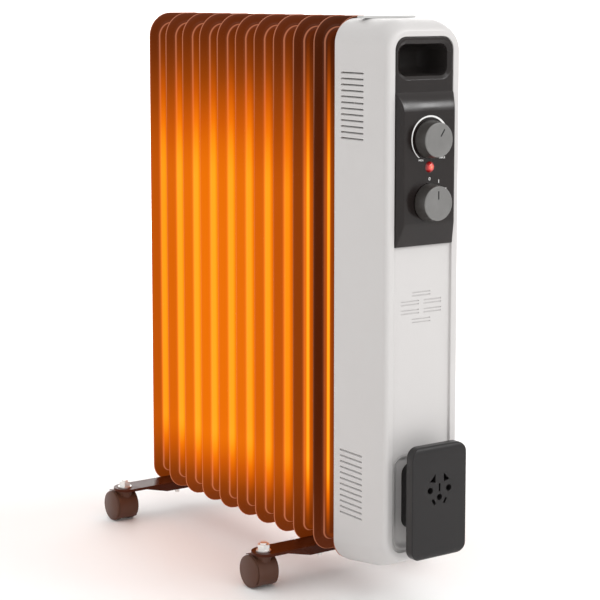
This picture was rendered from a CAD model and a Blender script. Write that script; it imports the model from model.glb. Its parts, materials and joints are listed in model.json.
"""Looks for the oil filled radiator heater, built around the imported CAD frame."""

import json
import math

import bmesh
import bpy
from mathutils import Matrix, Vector
from mathutils.geometry import delaunay_2d_cdt


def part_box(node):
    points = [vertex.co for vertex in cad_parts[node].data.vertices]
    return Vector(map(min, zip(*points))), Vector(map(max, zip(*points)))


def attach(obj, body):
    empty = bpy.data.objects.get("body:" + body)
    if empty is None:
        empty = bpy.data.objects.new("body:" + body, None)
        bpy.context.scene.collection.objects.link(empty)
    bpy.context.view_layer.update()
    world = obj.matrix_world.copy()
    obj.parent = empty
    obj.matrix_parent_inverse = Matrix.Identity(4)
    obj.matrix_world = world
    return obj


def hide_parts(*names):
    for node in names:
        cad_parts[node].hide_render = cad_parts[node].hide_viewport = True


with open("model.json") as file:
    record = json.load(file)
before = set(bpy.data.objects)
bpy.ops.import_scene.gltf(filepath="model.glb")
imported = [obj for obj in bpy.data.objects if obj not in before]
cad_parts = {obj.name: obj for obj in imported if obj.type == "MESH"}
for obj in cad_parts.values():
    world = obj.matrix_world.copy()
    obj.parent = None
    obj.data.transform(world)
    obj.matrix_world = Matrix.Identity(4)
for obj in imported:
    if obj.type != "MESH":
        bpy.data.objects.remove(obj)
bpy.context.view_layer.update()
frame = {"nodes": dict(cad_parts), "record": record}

scene = bpy.context.scene
MM = 0.001


# ---- camera ----

CAMERA_PLACE = (-1.16944, -1.69852, 0.65801)
CAMERA_YAW = 34.602
CAMERA_PITCH = 7.209

camera_data = bpy.data.cameras.new("camera")
camera_data.lens = 107.9
camera_data.sensor_width = 36
camera_data.shift_y = -0.1333
camera = bpy.data.objects.new("camera", camera_data)
camera.location = CAMERA_PLACE
camera.rotation_euler = (math.radians(90 - CAMERA_PITCH), 0, -math.radians(CAMERA_YAW))
scene.collection.objects.link(camera)
scene.camera = camera


# ---- places, from the frame ----

def node_box(name):
    """A node's lowest and highest corners, in millimetres."""
    low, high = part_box(name)
    return low / MM, high / MM


front_lo, front_hi = node_box("housing_front")
base_lo = node_box("housing_base")[0]
top_hi = node_box("housing_top")[1]
panel_lo, panel_hi = node_box("control_panel")
bezel_lo, bezel_hi = node_box("dial_bezel")
pocket_lo, pocket_hi = node_box("cord_pocket")

Y_FRONT = front_lo.y
Y_BACK = top_hi.y
HALF_W = top_hi.x
WALL = 2.2
FRONT_WALL = front_hi.y - front_lo.y
CHANNEL_DEPTH = 3.0
CHANNEL_HALF = 38.2
CHANNEL_Z0 = 66.0
CORNER_R = 27.0
EDGE_R = 5.5
SWEEP_R = 170.0
SWEEP_Y = Y_BACK - 8
BROW_R = 40.0
BROW_DROP = 10.0
VENT_Y0 = Y_BACK - 51.5
VENT_Y1 = Y_BACK - 11
VENT_TOPS = (574, 165)
VENT_COUNT = 12
VENT_STEP = 6.3


# ---- mesh helpers ----

def rounded_loop(half_w, z0, z1, r_top, r_bottom, steps=8):
    """A rounded rectangle as (x, z) points, anticlockwise from the lower right corner."""
    points = []
    for cx, cz, r, start in (
        (half_w - r_bottom, z0 + r_bottom, r_bottom, -90),
        (half_w - r_top, z1 - r_top, r_top, 0),
        (-half_w + r_top, z1 - r_top, r_top, 90),
        (-half_w + r_bottom, z0 + r_bottom, r_bottom, 180),
    ):
        for i in range(steps + 1):
            a = math.radians(start + 90 * i / steps)
            points.append((cx + r * math.cos(a), cz + r * math.sin(a)))
    return points


def slot_loop(length, width, steps=5):
    """A round-ended slot centred on the origin, long way along the first axis."""
    r, reach = width / 2, (length - width) / 2
    points = []
    for side in (1, -1):
        for i in range(steps + 1):
            a = math.radians(-90 + 180 * i / steps)
            points.append((side * (reach + r * math.cos(a)), side * r * math.sin(a)))
    return points


def circle_loop(r, steps=96):
    return [(r * math.cos(2 * math.pi * i / steps), r * math.sin(2 * math.pi * i / steps))
            for i in range(steps)]


class Shape:
    """A mesh under construction, in millimetres."""

    def __init__(self):
        self.bm = bmesh.new()

    def loop(self, points):
        return [self.bm.verts.new(p) for p in points]

    def loop_y(self, outline, y):
        return self.loop([(x, y, z) for x, z in outline])

    def face(self, verts, material=0):
        f = self.bm.faces.new(verts)
        f.smooth = True
        f.material_index = material
        return f

    def bridge(self, a, b, closed=True, skip=(), material=0):
        n = len(a)
        for i in range(n if closed else n - 1):
            if i not in skip:
                j = (i + 1) % n
                self.face([a[i], a[j], b[j], b[i]], material)

    def loft(self, loops, closed=True, material=0):
        for a, b in zip(loops, loops[1:]):
            self.bridge(a, b, closed, material=material)

    def fill(self, outer, holes=(), axes=(0, 2), material=0):
        """A flat face inside the outer loop and outside the holes, all loops of this mesh."""
        loops = [outer, *holes]
        verts = [v for one in loops for v in one]
        flat = [Vector((v.co[axes[0]], v.co[axes[1]])) for v in verts]
        edges, start = [], 0
        for one in loops:
            n = len(one)
            edges += [(start + i, start + (i + 1) % n) for i in range(n)]
            start += n
        found = delaunay_2d_cdt(flat, edges, [], 1, 1e-6)
        origin = [group[0] if group else None for group in found[3]]
        polygons = [[Vector((v.co[axes[0]], v.co[axes[1]])) for v in one] for one in holes]
        for triangle in found[2]:
            middle = sum((found[0][i] for i in triangle), Vector((0, 0))) / len(triangle)
            if any(inside(middle, polygon) for polygon in polygons):
                continue
            corners = [verts[origin[i]] for i in triangle]
            if len(set(corners)) == 3:
                self.face(corners, material)

    def piece(self, name, body, slot, materials, replaced=(), sharp=40, weighted=True):
        bmesh.ops.recalc_face_normals(self.bm, faces=self.bm.faces)
        bmesh.ops.scale(self.bm, vec=(MM, MM, MM), verts=self.bm.verts)
        mesh = bpy.data.meshes.new(name)
        self.bm.to_mesh(mesh)
        self.bm.free()
        mesh.set_sharp_from_angle(angle=math.radians(sharp))
        piece = bpy.data.objects.new(name, mesh)
        scene.collection.objects.link(piece)
        for material in materials:
            mesh.materials.append(material)
        if weighted:
            modifier = piece.modifiers.new("normals", "WEIGHTED_NORMAL")
            modifier.weight = 100
            modifier.keep_sharp = True
        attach(piece, body)
        if replaced:
            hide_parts(*replaced)
        return piece


def inside(point, polygon):
    """Whether a point is inside a polygon, by counting the edges to its right."""
    hit = False
    n = len(polygon)
    for i in range(n):
        a, b = polygon[i], polygon[i - 1]
        if (a.y > point.y) != (b.y > point.y):
            if point.x < (b.x - a.x) * (point.y - a.y) / (b.y - a.y) + a.x:
                hit = not hit
    return hit


def smoothstep(low, high, value):
    """0 below low, 1 above high, and a soft step between them."""
    t = min(1.0, max(0.0, (value - low) / (high - low)))
    return t * t * (3 - 2 * t)


SHARP_ANGLE = 40


def softened(node, name, body, material, width, segments=2):
    """A copy of a CAD node with its sharp edges rounded, which stands for the node."""
    shape = bmesh.new()
    shape.from_mesh(frame["nodes"][node].data)
    bmesh.ops.remove_doubles(shape, verts=shape.verts, dist=2e-6)
    bmesh.ops.dissolve_limit(shape, angle_limit=math.radians(0.5), verts=shape.verts,
                             edges=shape.edges)
    for f in shape.faces:
        f.smooth = True
        f.material_index = 0
    mesh = bpy.data.meshes.new(name)
    shape.to_mesh(mesh)
    shape.free()
    mesh.set_sharp_from_angle(angle=math.radians(SHARP_ANGLE))
    mesh.materials.append(material)
    piece = bpy.data.objects.new(name, mesh)
    scene.collection.objects.link(piece)
    bevel = piece.modifiers.new("edges", "BEVEL")
    bevel.width = width * MM
    bevel.segments = segments
    bevel.limit_method = "ANGLE"
    bevel.angle_limit = math.radians(SHARP_ANGLE)
    bevel.harden_normals = True
    bevel.use_clamp_overlap = True
    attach(piece, body)
    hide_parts(node)
    return piece


# ---- materials ----

class Finish:
    """A node material, with helpers that keep each recipe short."""

    def __init__(self, name, **inputs):
        self.material = bpy.data.materials.new(name)
        self.material.use_nodes = True
        self.tree = self.material.node_tree
        self.shader = self.tree.nodes["Principled BSDF"]
        self.place = self.tree.nodes.new("ShaderNodeTexCoord").outputs["Object"]
        for key, value in inputs.items():
            self.shader.inputs[key].default_value = value

    def node(self, kind, **settings):
        made = self.tree.nodes.new(kind)
        for key, value in settings.items():
            setattr(made, key, value)
        return made

    def link(self, source, target):
        self.tree.links.new(source, target)

    def noise(self, scale, detail=3.0, roughness=0.55, stretch=None):
        made = self.node("ShaderNodeTexNoise")
        made.inputs["Scale"].default_value = scale
        made.inputs["Detail"].default_value = detail
        made.inputs["Roughness"].default_value = roughness
        if stretch:
            mapping = self.node("ShaderNodeMapping")
            mapping.inputs["Scale"].default_value = stretch
            self.link(self.place, mapping.inputs["Vector"])
            self.link(mapping.outputs["Vector"], made.inputs["Vector"])
        else:
            self.link(self.place, made.inputs["Vector"])
        return made.outputs["Fac"]

    def ramp(self, source, stops):
        made = self.node("ShaderNodeValToRGB")
        elements = made.color_ramp.elements
        while len(elements) < len(stops):
            elements.new(0.5)
        for element, (at, colour) in zip(elements, stops):
            element.position = at
            element.color = (*colour, 1) if len(colour) == 3 else colour
        self.link(source, made.inputs["Fac"])
        return made.outputs["Color"]

    def span(self, source, low, high, to_low, to_high, smooth=False):
        made = self.node("ShaderNodeMapRange")
        if smooth:
            made.interpolation_type = "SMOOTHSTEP"
        for key, value in (("From Min", low), ("From Max", high),
                           ("To Min", to_low), ("To Max", to_high)):
            made.inputs[key].default_value = value
        self.link(source, made.inputs["Value"])
        return made.outputs["Result"]

    def math(self, kind, a, b=None):
        made = self.node("ShaderNodeMath", operation=kind)
        for socket, value in zip(made.inputs, (a, b)):
            if value is None:
                continue
            if isinstance(value, (int, float)):
                socket.default_value = value
            else:
                self.link(value, socket)
        return made.outputs["Value"]

    def axis(self, letter):
        if not hasattr(self, "axes"):
            self.axes = self.node("ShaderNodeSeparateXYZ")
            self.link(self.place, self.axes.inputs["Vector"])
        return self.axes.outputs[letter]

    def colour(self, source):
        self.link(source, self.shader.inputs["Base Color"])

    def rough(self, source):
        self.link(source, self.shader.inputs["Roughness"])

    def bump(self, source, distance, strength=1.0):
        made = self.node("ShaderNodeBump")
        made.inputs["Strength"].default_value = strength
        made.inputs["Distance"].default_value = distance
        last = self.shader.inputs["Normal"]
        if last.is_linked:
            self.link(last.links[0].from_socket, made.inputs["Normal"])
        self.link(source, made.inputs["Height"])
        self.link(made.outputs["Normal"], last)


def tone(colour, factor):
    return tuple(min(1.0, c * factor) for c in colour)


def coated(name, colour, rough, spread=0.05, rough_spread=0.06, peel=900, peel_mm=0.012,
           **inputs):
    """Paint or moulded plastic: slow tone drift, uneven gloss and a fine skin texture."""
    made = Finish(name, **inputs)
    drift = made.noise(9, 4)
    made.colour(made.ramp(drift, [(0.3, tone(colour, 1 - spread)), (0.7, tone(colour, 1 + spread))]))
    made.rough(made.span(made.noise(38, 5), 0.3, 0.7, rough - rough_spread, rough + rough_spread))
    made.bump(made.noise(peel, 2, 0.6), peel_mm * MM)
    return made


def build_materials():
    made = {}
    made["housing_paint"] = coated(
        "housing_powder_coat", (0.56, 0.545, 0.538), 0.36, 0.012, 0.05, 1300, 0.010).material
    made["cover_plastic"] = coated(
        "cover_moulding", (0.55, 0.55, 0.54), 0.42, 0.015, 0.05, 2600, 0.02).material
    made["panel_gloss"] = coated(
        "panel_moulding", (0.0108, 0.0074, 0.0067), 0.20, 0.12, 0.05, 700, 0.004,
        **{"Specular IOR Level": 0.38}).material
    made["cord_plate_plastic"] = coated(
        "cord_plate_moulding", (0.0135, 0.0120, 0.0122), 0.34, 0.08, 0.05, 3200, 0.02,
        **{"Specular IOR Level": 0.30}).material
    made["foot_paint"] = coated(
        "foot_enamel", (0.058, 0.011, 0.0025), 0.32, 0.2, 0.07, 500, 0.01,
        **{"Specular IOR Level": 0.12}).material
    made["caster_plastic"] = coated(
        "caster_nylon", (0.088, 0.034, 0.019), 0.40, 0.12, 0.07, 2400, 0.02,
        **{"Specular IOR Level": 0.30}).material
    made["switch_plastic"] = coated(
        "switch_thermoset", (0.60, 0.55, 0.45), 0.5, 0.06, 0.08, 1800, 0.02).material
    made["wire_sleeve"] = coated(
        "loom_sleeve", (0.02, 0.02, 0.02), 0.55, 0.2, 0.1, 2500, 0.05).material
    made["chassis_black"] = coated(
        "chassis_paint", (0.02, 0.02, 0.02), 0.45, 0.15, 0.08, 900, 0.02).material
    made["dial_print"] = coated(
        "dial_ink", (0.85, 0.85, 0.84), 0.45, 0.03, 0.05, 4000, 0.01).material
    made["pointer_ink"] = coated(
        "pointer_ink", (0.008, 0.008, 0.008), 0.5, 0.1, 0.05, 4000, 0.01).material

    knob = Finish("knob_moulding")
    knob.colour(knob.ramp(knob.noise(60, 4), [
        (0.3, (0.150, 0.148, 0.143)), (0.7, (0.175, 0.172, 0.168))]))
    knob.rough(knob.span(knob.noise(220, 3), 0.3, 0.7, 0.30, 0.42))
    knob.bump(knob.noise(3000, 2), 0.02 * MM)
    made["knob_plastic"] = knob.material
    made["cup_moulding"] = coated(
        "cup_moulding", (0.022, 0.019, 0.018), 0.60, 0.12, 0.05, 2200, 0.02,
        **{"Specular IOR Level": 0.15}).material
    made["knob_skirt"] = coated(
        "knob_skirt_moulding", (0.042, 0.038, 0.035), 0.36, 0.08, 0.05, 3000, 0.02).material

    zinc = Finish("bright_zinc", **{"Metallic": 1.0})
    zinc.colour(zinc.ramp(zinc.noise(180, 4), [(0.3, (0.80, 0.79, 0.77)), (0.7, (0.90, 0.89, 0.87))]))
    zinc.rough(zinc.span(zinc.noise(300, 3), 0.3, 0.7, 0.36, 0.46))
    zinc.bump(zinc.noise(900, 2, stretch=(1, 1, 0.15)), 0.002 * MM)
    made["zinc"] = zinc.material

    steel = Finish("element_tube", **{"Metallic": 1.0})
    steel.colour(steel.ramp(steel.noise(120, 4), [(0.3, (0.30, 0.27, 0.24)), (0.7, (0.46, 0.43, 0.40))]))
    steel.rough(steel.span(steel.noise(400, 4), 0.3, 0.7, 0.3, 0.5))
    steel.bump(steel.noise(1500, 2, stretch=(1, 0.1, 1)), 0.02 * MM)
    made["element_steel"] = steel.material

    lens = Finish("lens_moulding", **{
        "IOR": 1.5, "Coat Weight": 0.5, "Coat Roughness": 0.06, "Emission Strength": 0.28})
    lens_z = sum(c.z for c in node_box("indicator_lens")) / 2 * MM
    lens_out = lens.math("POWER", lens.math("ADD", lens.math("POWER", lens.axis("X"), 2), lens.math(
        "POWER", lens.math("ABSOLUTE", lens.math("SUBTRACT", lens.axis("Z"), lens_z)), 2)), 0.5)
    lens_out = lens.math("ADD", lens_out, lens.span(lens.noise(420, 3), 0.3, 0.7, -0.0005, 0.0005))
    glow = lens.ramp(lens.span(lens_out, 0.0, 0.006, 0.0, 1.0), [
        (0.0, (1.0, 0.30, 0.16)), (0.30, (0.90, 0.09, 0.06)), (0.62, (0.42, 0.010, 0.010)),
        (0.95, (0.10, 0.004, 0.004))])
    lens.colour(glow)
    lens.link(glow, lens.shader.inputs["Emission Color"])
    lens.rough(lens.span(lens.noise(900, 2), 0.3, 0.7, 0.12, 0.24))
    facets = lens.node("ShaderNodeTexVoronoi")
    facets.inputs["Scale"].default_value = 620
    lens.link(lens.place, facets.inputs["Vector"])
    lens.bump(facets.outputs["Distance"], 0.12 * MM, 0.5)
    made["lens_red"] = lens.material

    made["fin_enamel"] = heated_enamel()
    return made


FIN_HALF = 47.5
FIN_RT = 30.0
FIN_RB = 22.0
fin_lo, fin_hi = node_box("fin_05")
FIN_Z0, FIN_Z1 = fin_lo.z, fin_hi.z


def grey(stops):
    return [(at, (value,) * 3) for at, value in stops]


def edge_distance(enamel):
    """How far in from the fin's outline a point is, in metres, round corners included."""
    out = enamel.math("ABSOLUTE", enamel.axis("X"))

    def from_end(radius, past_corner):
        across = enamel.math("SUBTRACT", out, FIN_HALF * MM - radius)
        a = enamel.math("MAXIMUM", across, 0.0)
        b = enamel.math("MAXIMUM", past_corner, 0.0)
        squares = enamel.math("ADD", enamel.math("MULTIPLY", a, a), enamel.math("MULTIPLY", b, b))
        round_part = enamel.math("POWER", squares, 0.5)
        flat_part = enamel.math("MINIMUM", enamel.math("MAXIMUM", across, past_corner), 0.0)
        return enamel.math("SUBTRACT", radius, enamel.math("ADD", round_part, flat_part))

    top_r, low_r = FIN_RT * MM, FIN_RB * MM
    past_top = enamel.math("SUBTRACT", enamel.axis("Z"), FIN_Z1 * MM - top_r)
    past_low = enamel.math("SUBTRACT", FIN_Z0 * MM + low_r, enamel.axis("Z"))
    return enamel.math("MINIMUM", from_end(top_r, past_top), from_end(low_r, past_low))


def heated_enamel():
    """Dark enamel on the fins, with the glow of a hot radiator.

    The glow depends on the place in the radiator only: strongest halfway up and on the oil
    channels, weaker on the flat seams, at both ends and next to the housing. A thin light line
    follows each fin's rim and the foot of its channels, most at the top and bottom.
    """
    first = node_box("fin_01")[1].y * MM
    last = node_box("fin_11")[0].y * MM
    enamel = Finish("fin_enamel", **{"Specular IOR Level": 0.07, "Emission Strength": 1.0})
    enamel.colour(enamel.ramp(enamel.noise(14, 4), [
        (0.3, (0.030, 0.009, 0.004)), (0.7, (0.042, 0.013, 0.006))]))
    enamel.rough(enamel.span(enamel.noise(45, 5), 0.3, 0.7, 0.30, 0.44))
    enamel.bump(enamel.noise(600, 2), 0.012 * MM)

    inset = edge_distance(enamel)

    def near(place, reach, core):
        """1 within core of an inset, falling softly to 0 at reach, all in millimetres."""
        off = enamel.math("ABSOLUTE", enamel.math("SUBTRACT", inset, place * MM))
        return enamel.span(off, reach * MM, core * MM, 0.0, 1.0, True)

    # how warm each height and each fin is
    drift = enamel.span(enamel.noise(5, 2), 0.3, 0.7, -8 * MM, 8 * MM)
    height = enamel.math("ADD", enamel.axis("Z"), drift)
    above = enamel.span(height, 645 * MM, 430 * MM, 0.0, 1.0, True)
    below = enamel.span(height, 35 * MM, 135 * MM, 0.0, 1.0, True)
    upright = enamel.math("MULTIPLY", above, below)
    along = enamel.span(enamel.axis("Y"), last, first, 0.0, 1.0)
    idle = enamel.ramp(along, grey([(0.0, 0.02), (0.10, 0.06), (0.30, 0.14), (1.0, 0.15)]))
    foot_warmth = enamel.span(height, 160 * MM, 50 * MM, 0.0, 0.07, True)
    seam_warmth = enamel.ramp(along, grey([
        (0.0, 0.02), (0.12, 0.08), (0.22, 0.40), (0.34, 0.72), (0.50, 0.95), (0.72, 1.0),
        (0.88, 0.85), (1.0, 0.55)]))
    channel_warmth = enamel.ramp(along, grey([
        (0.0, 0.30), (0.10, 0.45), (0.20, 0.70), (0.34, 0.95), (0.60, 1.0), (0.90, 1.0),
        (1.0, 0.90)]))

    # seams and channels, with a ridge of heat along each channel
    on_channel = enamel.span(inset, 10.9 * MM, 13.0 * MM, 0.0, 1.0, True)
    seam = enamel.math("MULTIPLY", enamel.math("MULTIPLY", seam_warmth, upright), 0.56)
    ridge = enamel.math("ADD", enamel.math("MULTIPLY", near(15.0, 9.0, 1.2), 0.32), 0.52)
    channel = enamel.math("MULTIPLY", enamel.math("MULTIPLY", channel_warmth, upright), ridge)
    mixed = enamel.node("ShaderNodeMix")
    enamel.link(on_channel, mixed.inputs["Factor"])
    enamel.link(seam, mixed.inputs["A"])
    enamel.link(channel, mixed.inputs["B"])
    beside_housing = enamel.span(along, 0.26, 0.14, 0.0, 0.60, True)
    crease = enamel.math("MULTIPLY", near(16.5, 3.4, 0.8),
                         enamel.math("MULTIPLY", beside_housing, upright))
    warmth = enamel.math("ADD", enamel.math("ADD", mixed.outputs["Result"], idle), foot_warmth)
    warmth = enamel.math("MINIMUM", enamel.math("ADD", warmth, crease), 1.0)
    glow = enamel.ramp(warmth, [
        (0.0, (0.006, 0.001, 0.0)), (0.15, (0.085, 0.013, 0.0012)), (0.35, (0.30, 0.050, 0.001)),
        (0.55, (0.60, 0.100, 0.0005)), (0.75, (0.90, 0.185, 0.001)), (0.90, (1.0, 0.32, 0.006)),
        (1.0, (1.0, 0.42, 0.016))])

    # the thin light lines
    lines = enamel.math("MAXIMUM", near(0.0, 0.9, 0.3), near(12.4, 0.7, 0.1))
    lines = enamel.math("MULTIPLY", lines, enamel.span(upright, 0.0, 0.8, 1.0, 0.12))
    line_glow = enamel.ramp(lines, [(0.0, (0.0, 0.0, 0.0)), (1.0, (0.34, 0.13, 0.075))])
    total = enamel.node("ShaderNodeVectorMath", operation="ADD")
    enamel.link(glow, total.inputs[0])
    enamel.link(line_glow, total.inputs[1])
    enamel.link(total.outputs["Vector"], enamel.shader.inputs["Emission Color"])
    return enamel.material


MATERIALS = build_materials()


# ---- carried-over CAD nodes ----

SLOT_OF = {row["node"]: row["material_slot"] for row in frame["record"]["subparts"]}
for node_name, node in frame["nodes"].items():
    node.data.materials.clear()
    node.data.materials.append(MATERIALS[SLOT_OF[node_name]])
    for polygon in node.data.polygons:
        polygon.material_index = 0


# ---- fins ----

FIN_BULGE = 5.5
SHEET = 0.9
STEP_FOOT, STEP_CREST = 10.8, 13.6
PATCH_INSET = 16.0
PATCH_HALF = 27.0
VALLEY_X = 11.5
HEADER_R = 23.0
Z_LOW = FIN_Z0 + 50
Z_HIGH = FIN_Z1 - 50.5


def fin_height(x, z, d, outer_end):
    """Half the fin's thickness at a point whose distance from the edge is d."""
    if d < SHEET:
        return SHEET * math.sqrt(max(0.0, 1 - (1 - d / SHEET) ** 2))
    h = SHEET + (FIN_BULGE - SHEET) * smoothstep(STEP_FOOT, STEP_CREST, d)
    h -= 0.25 * math.exp(-((d - 8.2) / 1.3) ** 2)
    z_mid = min(max(z, Z_LOW + 34), Z_HIGH - 34)
    gap = math.hypot(abs(x) - VALLEY_X, z - z_mid)
    h -= 3.0 * (1 - smoothstep(0.6, 5.2, gap))
    for z_header in (Z_LOW, Z_HIGH):
        r = math.hypot(x, z - z_header)
        if outer_end:
            h -= 1.2 * (1 - smoothstep(17, 21, r)) - 0.5 * (1 - smoothstep(11, 15, r))
        elif r < HEADER_R + 6:
            h += 3.2 * ((HEADER_R + 6 - max(r, HEADER_R)) / 6) ** 2
    return h


def fin_rows():
    """Heights of the rows up the straight sides: close together where the shape changes."""
    rows = [FIN_Z0 + FIN_RB]
    while rows[-1] < FIN_Z1 - FIN_RT - 0.1:
        z = rows[-1]
        busy = z < Z_LOW + 44 or z > Z_HIGH - 48
        rows.append(min(z + (3.0 if busy else 22.0), FIN_Z1 - FIN_RT))
    return rows


def fin_ring_recipe():
    """How each point of a ring is placed: (corner x, corner z, radius, angle) or a straight run."""
    columns = 36
    xs = [-PATCH_HALF + 2 * PATCH_HALF * i / columns for i in range(columns + 1)]
    bottom, top = [], []
    for x in xs:
        sign = 1 if x > 0 else -1
        for store, r, cz, up in ((bottom, FIN_RB, FIN_Z0 + FIN_RB, -1),
                                 (top, FIN_RT, FIN_Z1 - FIN_RT, 1)):
            cx = FIN_HALF - r
            if abs(x) <= cx:
                store.append(("run", x, cz, r, up))
            else:
                a = math.acos((abs(x) - cx) / (r - PATCH_INSET))
                store.append(("arc", sign * cx, cz, r, sign, up * a))
    a_bottom, a_top = bottom[-1][5], top[-1][5]
    side = [("arc", FIN_HALF - FIN_RB, FIN_Z0 + FIN_RB, FIN_RB, 1, a_bottom * (1 - i / 6))
            for i in range(1, 6)]
    side += [("side", z) for z in fin_rows()]
    side += [("arc", FIN_HALF - FIN_RT, FIN_Z1 - FIN_RT, FIN_RT, 1, a_top * i / 6)
             for i in range(1, 6)]
    return bottom, side, top


def ring_point(recipe, inset, sign=1):
    kind = recipe[0]
    if kind == "side":
        return sign * (FIN_HALF - inset), recipe[1]
    if kind == "run":
        _, x, cz, r, up = recipe
        return x, cz + up * (r - inset)
    _, cx, cz, r, way, a = recipe
    return sign * cx + sign * way * (r - inset) * math.cos(a), cz + (r - inset) * math.sin(a)


BOTTOM, SIDE, TOP = fin_ring_recipe()


def fin_ring(inset):
    """The whole ring, anticlockwise: bottom left to right, right side up, top back, left side down."""
    points = [ring_point(r, inset) for r in BOTTOM]
    points += [ring_point(r, inset) for r in SIDE]
    points += [ring_point(r, inset) for r in reversed(TOP)]
    points += [ring_point(r, inset, -1) for r in reversed(SIDE)]
    return points


def fin_patch():
    """A grid of (x, z) points inside the last ring, blended from its four sides."""
    low = [ring_point(r, PATCH_INSET) for r in BOTTOM]
    high = [ring_point(r, PATCH_INSET) for r in TOP]
    right = [low[-1]] + [ring_point(r, PATCH_INSET) for r in SIDE] + [high[-1]]
    left = [(-x, z) for x, z in right]
    grid = []
    for i, edge_point in enumerate(right):
        v = (edge_point[1] - right[0][1]) / (right[-1][1] - right[0][1])
        row = []
        for j in range(len(low)):
            u = j / (len(low) - 1)
            point = []
            for c in (0, 1):
                ruled = (1 - v) * low[j][c] + v * high[j][c] + (1 - u) * left[i][c] + u * right[i][c]
                corners = ((1 - u) * (1 - v) * low[0][c] + u * (1 - v) * low[-1][c]
                           + (1 - u) * v * high[0][c] + u * v * high[-1][c])
                point.append(ruled - corners)
            row.append(tuple(point))
        grid.append(row)
    return grid


RING_INSETS = [0.0, 0.12, 0.45, SHEET, 4.0, 6.6, 8.2, 9.8,
               STEP_FOOT, 11.3, 11.8, 12.3, 12.8, 13.2, STEP_CREST, PATCH_INSET]
RINGS = [fin_ring(d) for d in RING_INSETS]
PATCH = fin_patch()


def build_fin(number):
    """One pressed fin: rings in from its rim on both faces, then a grid across the middle."""
    name = f"fin_{number:02d}"
    low, high = node_box(name)
    y = (low.y + high.y) / 2
    shape = Shape()
    rim = shape.loop_y(RINGS[0], y)
    for side in (-1, 1):
        outer_end = number == 1 and side == 1
        rings = [rim]
        for inset, ring in zip(RING_INSETS[1:], RINGS[1:]):
            rings.append(shape.loop([
                (x, y + side * fin_height(x, z, inset, outer_end), z) for x, z in ring]))
        shape.loft(rings)
        edge = rings[-1]
        n_bottom, n_side = len(BOTTOM), len(SIDE)
        grid = []
        for i, row in enumerate(PATCH):
            verts = []
            for j, (x, z) in enumerate(row):
                if i == 0:
                    verts.append(edge[j])
                elif i == len(PATCH) - 1:
                    verts.append(edge[n_bottom + n_side + (n_bottom - 1 - j)])
                elif j == n_bottom - 1:
                    verts.append(edge[n_bottom + i - 1])
                elif j == 0:
                    verts.append(edge[2 * n_bottom + n_side + (n_side - i)])
                else:
                    verts.append(shape.bm.verts.new(
                        (x, y + side * fin_height(x, z, PATCH_INSET + 1, outer_end), z)))
            grid.append(verts)
        for a, b in zip(grid, grid[1:]):
            shape.bridge(a, b, closed=False)
    return shape.piece(f"pressed_{name}", "heater", "fin_enamel", [MATERIALS["fin_enamel"]],
                       [name], sharp=80, weighted=False)


for number in range(1, 12):
    build_fin(number)


# ---- housing ----

def edge_round(y, r):
    """How far the skin has drawn in where it turns into the front face."""
    s = y - Y_FRONT
    return r - math.sqrt(max(0.0, r * r - (r - s) ** 2)) if s < r else 0.0


def housing_section(y, skin):
    """The housing's outline across Y, with its skin moved in by skin."""
    brow_y = Y_FRONT + math.sqrt(2 * BROW_R * BROW_DROP - BROW_DROP ** 2)
    top = top_hi.z - (BROW_R - math.sqrt(BROW_R ** 2 - max(0.0, brow_y - y) ** 2))
    base = base_lo.z + SWEEP_R - math.sqrt(SWEEP_R ** 2 - max(0.0, SWEEP_Y - y) ** 2)
    pull = edge_round(y, EDGE_R)
    half = HALF_W - skin - pull
    r = CORNER_R - skin - pull * 0.8
    return rounded_loop(half, base + skin + edge_round(y, 3.5), top - skin - edge_round(y, 3.0), r, r, 12)


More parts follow.
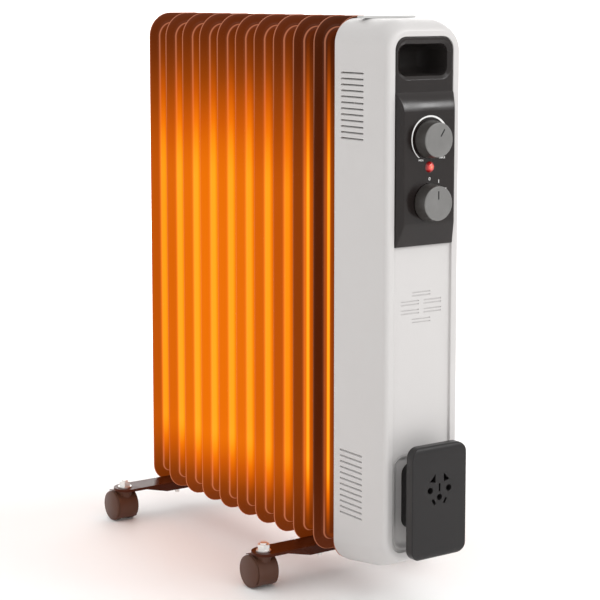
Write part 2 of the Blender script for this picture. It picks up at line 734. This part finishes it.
def build_housing():
    """The whole shell as one skin: vented sides, arched top, swept underside and channelled front."""
    shape = Shape()
    ys = [Y_BACK, VENT_Y1 + 4, VENT_Y0 - 3]
    ys += [Y_FRONT + d for d in (31.75, 25.75, 19.75, 14.75, 10.25, 6.75)]
    ys += [Y_FRONT + EDGE_R * (1 - math.sin(math.radians(a))) for a in (10, 22, 34, 46, 58, 70, 80, 90)]
    outer = [shape.loop_y(housing_section(y, 0), y) for y in ys]
    inner_ys = [y for y in ys if y > Y_FRONT + FRONT_WALL + 0.5] + [Y_FRONT + FRONT_WALL]
    inner = [shape.loop_y(housing_section(y, WALL), y) for y in inner_ys]
    steps = len(outer[0]) // 4
    right_side, left_side = steps - 1, 3 * steps - 1

    for loops in (outer, inner):
        for i, (a, b) in enumerate(zip(loops, loops[1:])):
            shape.bridge(a, b, skip=(right_side, left_side) if i == 1 else ())
    shape.bridge(outer[0], inner[0])

    for segment in (right_side, left_side):
        slots = []
        for loops in (outer, inner):
            x = loops[1][segment].co.x
            slots.append([
                shape.loop([(x, (VENT_Y0 + VENT_Y1) / 2 + u, top - VENT_STEP * i + v)
                            for u, v in slot_loop(VENT_Y1 - VENT_Y0, 2.0)])
                for top in VENT_TOPS for i in range(VENT_COUNT)])
            quad = [loops[1][segment], loops[1][segment + 1], loops[2][segment + 1], loops[2][segment]]
            shape.fill(quad, slots[-1], axes=(1, 2))
        for a, b in zip(*slots):
            shape.bridge(a, b)

    # front border, channel, and the floor with its openings
    def channel(grow, y):
        return shape.loop_y(rounded_loop(CHANNEL_HALF + grow, CHANNEL_Z0 - grow, panel_hi.z + 0.4 + grow,
                                         14 + grow, 12 + grow, 12), y)

    floor_y = Y_FRONT + CHANNEL_DEPTH
    rim = channel(1.0, Y_FRONT)
    shape.bridge(outer[-1], rim)
    walls = [rim] + [channel(g, Y_FRONT + d) for g, d in (
        (0.62, 0.08), (0.29, 0.29), (0.08, 0.62), (0.0, 1.0), (0.0, 2.4), (-0.18, 2.82), (-0.6, 3.0))]
    shape.loft(walls)

    panel_hole = rounded_loop(33, panel_lo.z + 8, panel_hi.z - 5, 9, 4, 6)
    pocket_hole = rounded_loop(pocket_hi.x + 0.3, pocket_lo.z - 0.3, pocket_hi.z + 0.3, 14, 14, 12)
    grooves = []
    for x, z, length in ([(0, z, 25) for z in (314.5, 343)]
                         + [(x, z, 24) for x in (-15, 15) for z in (324.5, 334)]):
        for dz in (-1.75, 1.75):
            grooves.append([(x + u, z + dz + v) for u, v in slot_loop(length, 1.3, 4)])
    front_holes = [shape.loop_y(o, floor_y) for o in (panel_hole, pocket_hole)]
    groove_tops = [shape.loop_y(o, floor_y) for o in grooves]
    shape.fill(walls[-1], front_holes + groove_tops)
    for top_loop, outline in zip(groove_tops, grooves):
        bottom_loop = shape.loop_y(outline, floor_y + 0.8)
        shape.bridge(top_loop, bottom_loop)
        shape.fill(bottom_loop)
    back_holes = [shape.loop_y(o, Y_FRONT + FRONT_WALL) for o in (panel_hole, pocket_hole)]
    for a, b in zip(front_holes, back_holes):
        shape.bridge(a, b)
    shape.fill(inner[-1], back_holes)
    shape.piece("housing_skin", "heater", "housing_paint", [MATERIALS["housing_paint"]],
                ["housing_top", "housing_left", "housing_right", "housing_base", "housing_front"],
                sharp=50)


def build_louvres():
    """The slanting blades pressed inward below each side vent."""
    shape = Shape()
    for side in (-1, 1):
        for top in VENT_TOPS:
            for i in range(VENT_COUNT):
                z = top - VENT_STEP * i
                profile = [(0.35, -1.0), (2.3, 0.15), (2.6, -0.25), (2.2, -1.3), (0.9, -1.45)]
                ends = []
                for y, shrink in ((VENT_Y0 + 0.2, 0.75), (VENT_Y0 + 0.95, 1.0),
                                  (VENT_Y1 - 0.95, 1.0), (VENT_Y1 - 0.2, 0.75)):
                    ends.append(shape.loop([
                        (side * (HALF_W - 0.1 - d * shrink), y, z + dz * shrink) for d, dz in profile]))
                shape.loft(ends)
                shape.face(ends[0])
                shape.face(ends[-1])
    shape.piece("vent_louvres", "heater", "housing_paint", [MATERIALS["housing_paint"]], sharp=50)


build_housing()
build_louvres()
softened("top_cover", "cover_plate", "heater", MATERIALS["cover_plastic"], 0.7, 3)


# ---- control panel ----

def build_fascia():
    """The panel round the hand hold, with the cup behind it in one moulding."""
    shape = Shape()
    half = panel_hi.x
    z0, z1 = panel_lo.z, panel_hi.z

    def outline(inset, y):
        return shape.loop_y(rounded_loop(half - inset, z0 + inset, z1 - inset, 14 - inset,
                                         max(0.4, 1.5 - inset), 12), y)

    outer = [outline(i, Y_FRONT + d) for i, d in (
        (0.0, 2.9), (0.0, 0.9), (0.12, 0.45), (0.45, 0.12), (0.8, 0.0), (1.2, 0.0))]
    shape.loft(outer)
    hold_half, hold_z0, hold_z1 = 31.4, 572.5, 605.0

    def hold(grow, y):
        r = max(2.5, 9 + grow)
        return shape.loop_y(rounded_loop(hold_half + grow, hold_z0 - grow, hold_z1 + grow, r, r, 12), y)

    lip = [hold(g, Y_FRONT + d) for g, d in (
        (4.6, 0.0), (4.2, 0.06), (3.7, 0.28), (0.8, 1.95), (0.35, 2.35), (0.1, 2.95))]
    cup = lip[-1:] + [hold(g, Y_FRONT + d) for g, d in (
        (-0.4, 5.0), (-0.8, 20.0), (-1.2, 27.0), (-2.2, 32.0), (-4.2, 36.5), (-7.0, 39.3), (-9.5, 40.2),
        (-12.0, 40.5))]
    shape.fill(outer[-1], [lip[0]])
    shape.loft(lip)
    shape.loft(cup, material=1)
    shape.fill(cup[-1], material=1)
    shape.piece("control_fascia", "heater", "panel_gloss",
                [MATERIALS["panel_gloss"], MATERIALS["cup_moulding"]],
                ["control_panel", "handle_cup"], sharp=55)


BEZEL_FACE_Z0 = 417.5
BEZEL_FACE_Z1 = 539.0
BEZEL_FACE_HALF = 33.6


def bezel_depth(z):
    """How far the bezel stands proud of the panel at a height, with softly rounded crests."""
    deep = Y_FRONT - bezel_lo.y
    z0, z1 = bezel_lo.z, bezel_hi.z
    if z < BEZEL_FACE_Z0 + 2:
        t = (z - z0 - 1.0) / (BEZEL_FACE_Z0 - z0 - 1.0)
        ramp = 1.4 + (deep - 1.4) * max(0.0, t)
        over = 0.5 * (ramp + deep - math.sqrt((ramp - deep) ** 2 + 0.35))
        return max(0.0, min(over, 1.5 * math.sqrt(max(0.0, (z - z0) / 1.0)) + 6 * max(0.0, z - z0 - 1)))
    if z > BEZEL_FACE_Z1 - 4:
        t = min(1.0, max(0.0, (z - BEZEL_FACE_Z1 + 3.0) / (z1 - BEZEL_FACE_Z1 + 3.0)))
        return deep * (1 - t ** 2.1) * (1 - 0.12 * math.sin(math.pi * t))
    return deep


def build_bezel():
    """The raised bezel that both dials stand on, with sloping borders."""
    shape = Shape()
    half = bezel_hi.x
    deep = Y_FRONT - bezel_lo.y
    slope = (half - BEZEL_FACE_HALF) / (deep - 1.2)
    z0, z1 = bezel_lo.z, bezel_hi.z
    zs = [z0 + d for d in (0, 0.08, 0.3, 0.65, 1.0, 3, 8, 14, 19, 21.5, 22.4, 23.2, 24, 25.5)]
    zs += [430, 450, 470, 490, 510, 528, 535]
    zs += [BEZEL_FACE_Z1 - 3 + (z1 - BEZEL_FACE_Z1 + 3) * i / 18 for i in range(19)]
    rows = []
    for z in zs:
        d = max(0.02, bezel_depth(z))
        crest = min(1.1, d * 0.35)
        foot = min(1.2, d * 0.6)
        top_x = half - max(0.0, d - 1.2) * slope
        lean = Vector((top_x - half, d - foot)).normalized()
        half_row = [(half, 0.0), (half, foot * 0.7), (half - 0.04, foot * 0.92)]
        start = Vector((top_x, d)) - lean * crest * 1.2
        end = Vector((top_x - crest * 1.2, d))
        corner = Vector((top_x, d))
        for i in range(6):
            t = i / 5
            point = start * (1 - t) ** 2 + corner * 2 * t * (1 - t) + end * t * t
            half_row.append((point.x, point.y))
        half_row += [(top_x - 6, d), (top_x - 16, d)]
        row = half_row + [(0.0, d)] + [(-x, y) for x, y in reversed(half_row)]
        rows.append(shape.loop([(x, Y_FRONT - y, z) for x, y in row]))
    shape.loft(rows, closed=False)
    shape.face(rows[0])
    shape.face(rows[-1])
    for a, b in zip(rows, rows[1:]):
        shape.face([a[0], a[-1], b[-1], b[0]])
    shape.piece("dial_bezel_moulding", "heater", "panel_gloss", [MATERIALS["panel_gloss"]],
                ["dial_bezel"], sharp=60)


def build_knob(node, name, body, angle):
    """A turned knob with a slim pointer pressed into its face, clockwise angle from the top."""
    low, high = node_box(node)
    centre_z = (low.z + high.z) / 2
    base_y, face_y = high.y, low.y
    r = (high.x - low.x) / 2
    depth = base_y - face_y
    profile = [(r - 0.5, 0.0), (r - 0.12, 0.12), (r, 0.5), (r, 1.5), (r - 0.12, 2.0), (r - 0.4, 3.5)]
    profile += [(r - 0.4 - 1.35 * t, 3.5 + (depth - 4.9) * t) for t in (0.25, 0.5, 0.75, 1.0)]
    skirt_rings = len(profile) + 1
    profile += [(r - 1.85, depth - 0.9), (r - 2.05, depth - 0.45), (r - 2.4, depth - 0.12),
                (r - 2.8, depth), (r - 3.6, depth)]
    profile += [(r - 4.0, depth - 0.06), (r - 4.5, depth - 0.22), (r - 5.4, depth - 0.25)]
    shape = Shape()
    rings = [shape.loop([(x, base_y - d, centre_z + z) for x, z in circle_loop(ring_r)])
             for ring_r, d in profile]
    shape.loft(rings[:skirt_rings], material=2)
    shape.loft(rings[skirt_rings - 1:])
    shape.fill(rings[0], material=2)
    a = math.radians(angle)
    slot = []
    for u, v in slot_loop(9.2, 1.5, 4):
        along, across = u + 8.6, v
        slot.append((along * math.sin(a) + across * math.cos(a),
                     along * math.cos(a) - across * math.sin(a)))
    face_depth = profile[-1][1]
    top = shape.loop([(x, base_y - face_depth, centre_z + z) for x, z in slot])
    floor = shape.loop([(x, base_y - face_depth + 0.6, centre_z + z) for x, z in slot])
    shape.fill(rings[-1], [top])
    shape.bridge(top, floor, material=1)
    shape.fill(floor, material=1)
    shape.piece(name, body, "knob_plastic", [
        MATERIALS["knob_plastic"], MATERIALS["pointer_ink"], MATERIALS["knob_skirt"]], [node], sharp=55)


def build_marks():
    """The scale that widens as it gets hotter, and the marks for the three power steps."""
    shape = Shape()
    y_face = bezel_lo.y
    thickness = 0.12
    thermostat_z = sum(c.z for c in node_box("thermostat_knob")) / 2
    power_z = sum(c.z for c in node_box("power_knob")) / 2
    steps = 96
    front, back = [], []
    for i in range(steps + 1):
        t = i / steps
        a = math.radians(-144 + 285 * t)
        width = 0.8 + 1.8 * t
        for r in (23.0 - 0.1 * t, 23.0 + width):
            point = (r * math.sin(a), thermostat_z + r * math.cos(a))
            front.append((point[0], y_face - thickness, point[1]))
            back.append((point[0], y_face, point[1]))
    fv, bv = shape.loop(front), shape.loop(back)
    for i in range(steps):
        shape.face([fv[2 * i], fv[2 * i + 1], fv[2 * i + 3], fv[2 * i + 2]])
        shape.face([fv[2 * i + 1], bv[2 * i + 1], bv[2 * i + 3], fv[2 * i + 3]])
        shape.face([fv[2 * i], fv[2 * i + 2], bv[2 * i + 2], bv[2 * i]])
    for i in (0, 2 * steps):
        shape.face([fv[i], bv[i], bv[i + 1], fv[i + 1]])

    def stamp(outline, holes=()):
        loops = [[shape.loop_y(o, y) for o in (outline, *holes)] for y in (y_face - thickness, y_face)]
        shape.fill(loops[0][0], loops[0][1:])
        for a, b in zip(*loops):
            shape.bridge(a, b)

    zero_z = power_z + 24.5
    ring = circle_loop(1.0, 28)
    stamp([(x * 1.2, zero_z + z * 1.7) for x, z in ring],
          [[(x * 0.68, zero_z + z * 1.12) for x, z in ring]])
    for n in (1, 2, 3):
        a = math.radians(30 * n)
        for i in range(n):
            x = 24.6 * math.sin(a) + (i - (n - 1) / 2) * 1.5
            z = power_z + 24.6 * math.cos(a)
            stamp([(x - 0.4, z - 1.8), (x + 0.4, z - 1.8), (x + 0.4, z + 1.8), (x - 0.4, z + 1.8)])

    strokes = {
        "M": [((-1, 0), (-1, 2)), ((-1, 2), (0, 0.7)), ((0, 0.7), (1, 2)), ((1, 2), (1, 0))],
        "I": [((0, 0), (0, 2))],
        "N": [((-0.8, 0), (-0.8, 2)), ((-0.8, 2), (0.8, 0)), ((0.8, 0), (0.8, 2))],
        "A": [((-0.9, 0), (0, 2)), ((0, 2), (0.9, 0)), ((-0.5, 0.7), (0.5, 0.7))],
        "X": [((-0.8, 0), (0.8, 2)), ((-0.8, 2), (0.8, 0))],
    }
    for word, x0, z0 in (("MIN", -14.3, thermostat_z - 22.6), ("MAX", 13.4, thermostat_z - 21.0)):
        x = x0
        for letter in word:
            wide = 0.35 if letter == "I" else 1.0
            x += wide
            for (ax, az), (bx, bz) in strokes[letter]:
                a, b = Vector((ax, az)), Vector((bx, bz))
                side = Vector((az - bz, bx - ax)).normalized() * 0.2
                stamp([(x + p.x, z0 + p.y) for p in (a + side, a - side, b - side, b + side)])
            x += wide + 0.55
    shape.piece("dial_ink_marks", "heater", "dial_print", [MATERIALS["dial_print"]], ["dial_marks"],
                sharp=40, weighted=False)


def build_lens():
    """The domed lens over the lamp."""
    low, high = node_box("indicator_lens")
    centre_z = (low.z + high.z) / 2
    r = (high.x - low.x) / 2
    shape = Shape()
    profile = [(r, high.y), (r, bezel_lo.y), (r - 0.1, bezel_lo.y - 0.35)]
    profile += [((r - 0.5) * math.cos(math.radians(a)), bezel_lo.y - 3.4 * math.sin(math.radians(a)))
                for a in (8, 20, 32, 44, 56, 68, 78)]
    rings = [shape.loop([(x, y, centre_z + z) for x, z in circle_loop(ring_r, 48)])
             for ring_r, y in profile]
    shape.loft(rings)
    shape.fill(rings[0])
    shape.fill(rings[-1])
    shape.piece("indicator_dome", "heater", "lens_red", [MATERIALS["lens_red"]],
                ["indicator_lens"], sharp=60)


build_fascia()
build_bezel()
build_knob("thermostat_knob", "thermostat_dial", "thermostat_control", 33)
build_knob("power_knob", "power_dial", "power_control", 0)
build_marks()
build_lens()


# ---- cord wrap ----

def build_pocket():
    """The recess that the cord plate stands in, with a soft rolled edge."""
    shape = Shape()
    half, z0, z1 = pocket_hi.x, pocket_lo.z, pocket_hi.z

    def ring(inset, y):
        return shape.loop_y(rounded_loop(half - inset, z0 + inset, z1 - inset, 14 - min(inset, 10),
                                         14 - min(inset, 10), 12), y)

    y0 = pocket_lo.y
    loops = [ring(i, y0 + d) for i, d in (
        (0.0, 2.0), (0.0, 0.35), (0.12, 0.0), (0.6, 0.0), (1.2, 0.12), (2.2, 0.7), (3.1, 1.8),
        (3.9, 3.2), (4.9, 4.6), (6.3, 5.6), (8.0, 6.0), (9.5, 6.0))]
    shape.loft(loops)
    shape.fill(loops[-1])
    shape.piece("cord_recess", "heater", "housing_paint", [MATERIALS["housing_paint"]],
                ["cord_pocket"], sharp=60)


def parking_holes():
    """Outlines in x and z of the holes that a plug's pins are parked in."""
    outlines = [[(x * 3.3, 129.8 + z * 3.3) for x, z in circle_loop(1, 24)],
                [(x, 140.4 + z) for z, x in slot_loop(8.8, 2.0, 4)]]
    for s in (-1, 1):
        outlines.append([(s * (9 + x), 150.5 + z) for x, z in ((-3.3, -4.1), (3.9, -2.7), (-3.3, 4.8))])
        outlines.append([(s * 12.4 + x * 3.4, 138.3 + z * 3.4) for x, z in circle_loop(1, 24)])
        a = math.radians(30)
        outlines.append([(s * (7.5 + u * math.sin(a) + v * math.cos(a)),
                          125.4 + u * math.cos(a) - v * math.sin(a)) for u, v in slot_loop(6.8, 2.7, 3)])
    return outlines


def build_cord_plate():
    """The plate that keeps the wound cord in: rolled over at its top and bottom."""
    shape = Shape()
    low, high = node_box("cord_plate")
    corner, roll, roll_depth, edge = 12.0, 8.0, 4.0, 1.0

    def row(z, d):
        w = high.x - corner + math.sqrt(corner ** 2 - (corner - d) ** 2)
        y = low.y + roll_depth * (1 - math.sqrt(1 - max(0.0, 1 - d / roll) ** 2))
        side = [(w, high.y)]
        for i in range(5):
            a = math.radians(90 * i / 4)
            side.append((w - edge * (1 - math.cos(a)), y + edge * (1 - math.sin(a))))
        return shape.loop([(x, y, z) for x, y in side + [(-x, y) for x, y in reversed(side)]])

    steps = [0.0, 0.25, 0.8, 1.6, 2.6, 3.8, 5.2, 6.6, 8.0, 9.5, 12.0]
    rows = [row(low.z + d, d) for d in steps] + [row(high.z - d, d) for d in reversed(steps)]
    front, middle = len(rows[0]) // 2 - 1, len(steps) - 1
    for i, (a, b) in enumerate(zip(rows, rows[1:])):
        shape.bridge(a, b, skip=(front,) if i == middle else ())
    shape.face(rows[0])
    shape.face(rows[-1])
    a, b = rows[middle], rows[middle + 1]
    mouths = []
    for outline in parking_holes():
        points = [Vector(p) for p in outline]
        centre = sum(points, Vector((0, 0))) / len(points)
        rim = [p + (p - centre).normalized() * 0.4 for p in points]
        loops = [shape.loop_y(rim, low.y), shape.loop_y(points, low.y + 0.4),
                 shape.loop_y(points, low.y + 8)]
        shape.loft(loops)
        shape.fill(loops[-1])
        mouths.append(loops[0])
    shape.fill([a[front], b[front], b[front + 1], a[front + 1]], mouths)
    shape.piece("cord_keeper_plate", "heater", "cord_plate_plastic", [MATERIALS["cord_plate_plastic"]],
                ["cord_plate"], sharp=50)


build_pocket()
build_cord_plate()
softened("cord_neck", "cord_keeper_neck", "heater",
         MATERIALS["cord_plate_plastic"], 0.6, 2)


# ---- feet and casters ----

for end in ("front", "rear"):
    softened(f"{end}_foot", f"{end}_foot_pressing", "heater",
             MATERIALS["foot_paint"], 0.8, 3)
softened("caster_nuts", "stem_nuts", "heater", MATERIALS["zinc"], 0.45, 2)
softened("foot_wing_nuts", "wing_nuts", "heater", MATERIALS["zinc"], 0.4, 2)
for end in ("front", "rear"):
    for side in ("left", "right"):
        corner = f"{end}_{side}"
        softened(f"{corner}_hood", f"{corner}_caster_hood", f"{corner}_swivel",
                 MATERIALS["caster_plastic"], 0.35, 2)
        softened(f"{corner}_wheels", f"{corner}_caster_wheels", f"{corner}_rollers",
                 MATERIALS["caster_plastic"], 0.5, 2)


# ---- stage and light ----

def build_stage():
    """A pale floor that curves up into a pale backdrop, well behind the object."""
    bm = bmesh.new()
    profile = [(-6.0, 0.0), (3.5, 0.0)]
    profile += [(3.5 + 1.5 * math.sin(math.radians(a)), 1.5 - 1.5 * math.cos(math.radians(a)))
                for a in range(10, 91, 10)]
    profile += [(5.0, 5.0)]
    rows = []
    for along, up in profile:
        rows.append([bm.verts.new((across, along, up)) for across in (-7.0, 7.0)])
    for a, b in zip(rows, rows[1:]):
        bm.faces.new([a[0], a[1], b[1], b[0]]).smooth = True
    mesh = bpy.data.meshes.new("studio_floor")
    bm.to_mesh(mesh)
    bm.free()
    floor = bpy.data.objects.new("studio_floor", mesh)
    floor.rotation_euler = (0, 0, -math.radians(CAMERA_YAW))
    scene.collection.objects.link(floor)
    paper = Finish("studio_paper")
    paper.colour(paper.ramp(paper.noise(2.5, 3), [
        (0.3, (0.93, 0.925, 0.92)), (0.7, (0.955, 0.95, 0.945))]))
    paper.rough(paper.span(paper.noise(9, 3), 0.3, 0.7, 0.55, 0.7))
    mesh.materials.append(paper.material)


def add_light(name, place, target, size, power):
    data = bpy.data.lights.new(name, "AREA")
    data.shape = "RECTANGLE"
    data.size, data.size_y = size
    data.energy = power
    light = bpy.data.objects.new(name, data)
    light.location = place
    light.rotation_euler = (Vector(target) - Vector(place)).to_track_quat("-Z", "Y").to_euler()
    scene.collection.objects.link(light)


build_stage()
world = bpy.data.worlds.new("studio")
world.use_nodes = True
world.node_tree.nodes["Background"].inputs["Color"].default_value = (1.0, 0.995, 0.99, 1)
world.node_tree.nodes["Background"].inputs["Strength"].default_value = 1.0
scene.world = world
scene.view_settings.view_transform = "Standard"
add_light("key", (0.9, -2.6, 1.9), (0, 0, 0.35), (1.6, 1.6), 22)
add_light("crest", (1.25, -1.8, 1.5), (0, -0.235, 0.48), (0.5, 0.25), 6)
add_light("backdrop", (0.8, 1.6, 2.6), (2.6, 4.2, 0.6), (2.4, 0.8), 160)
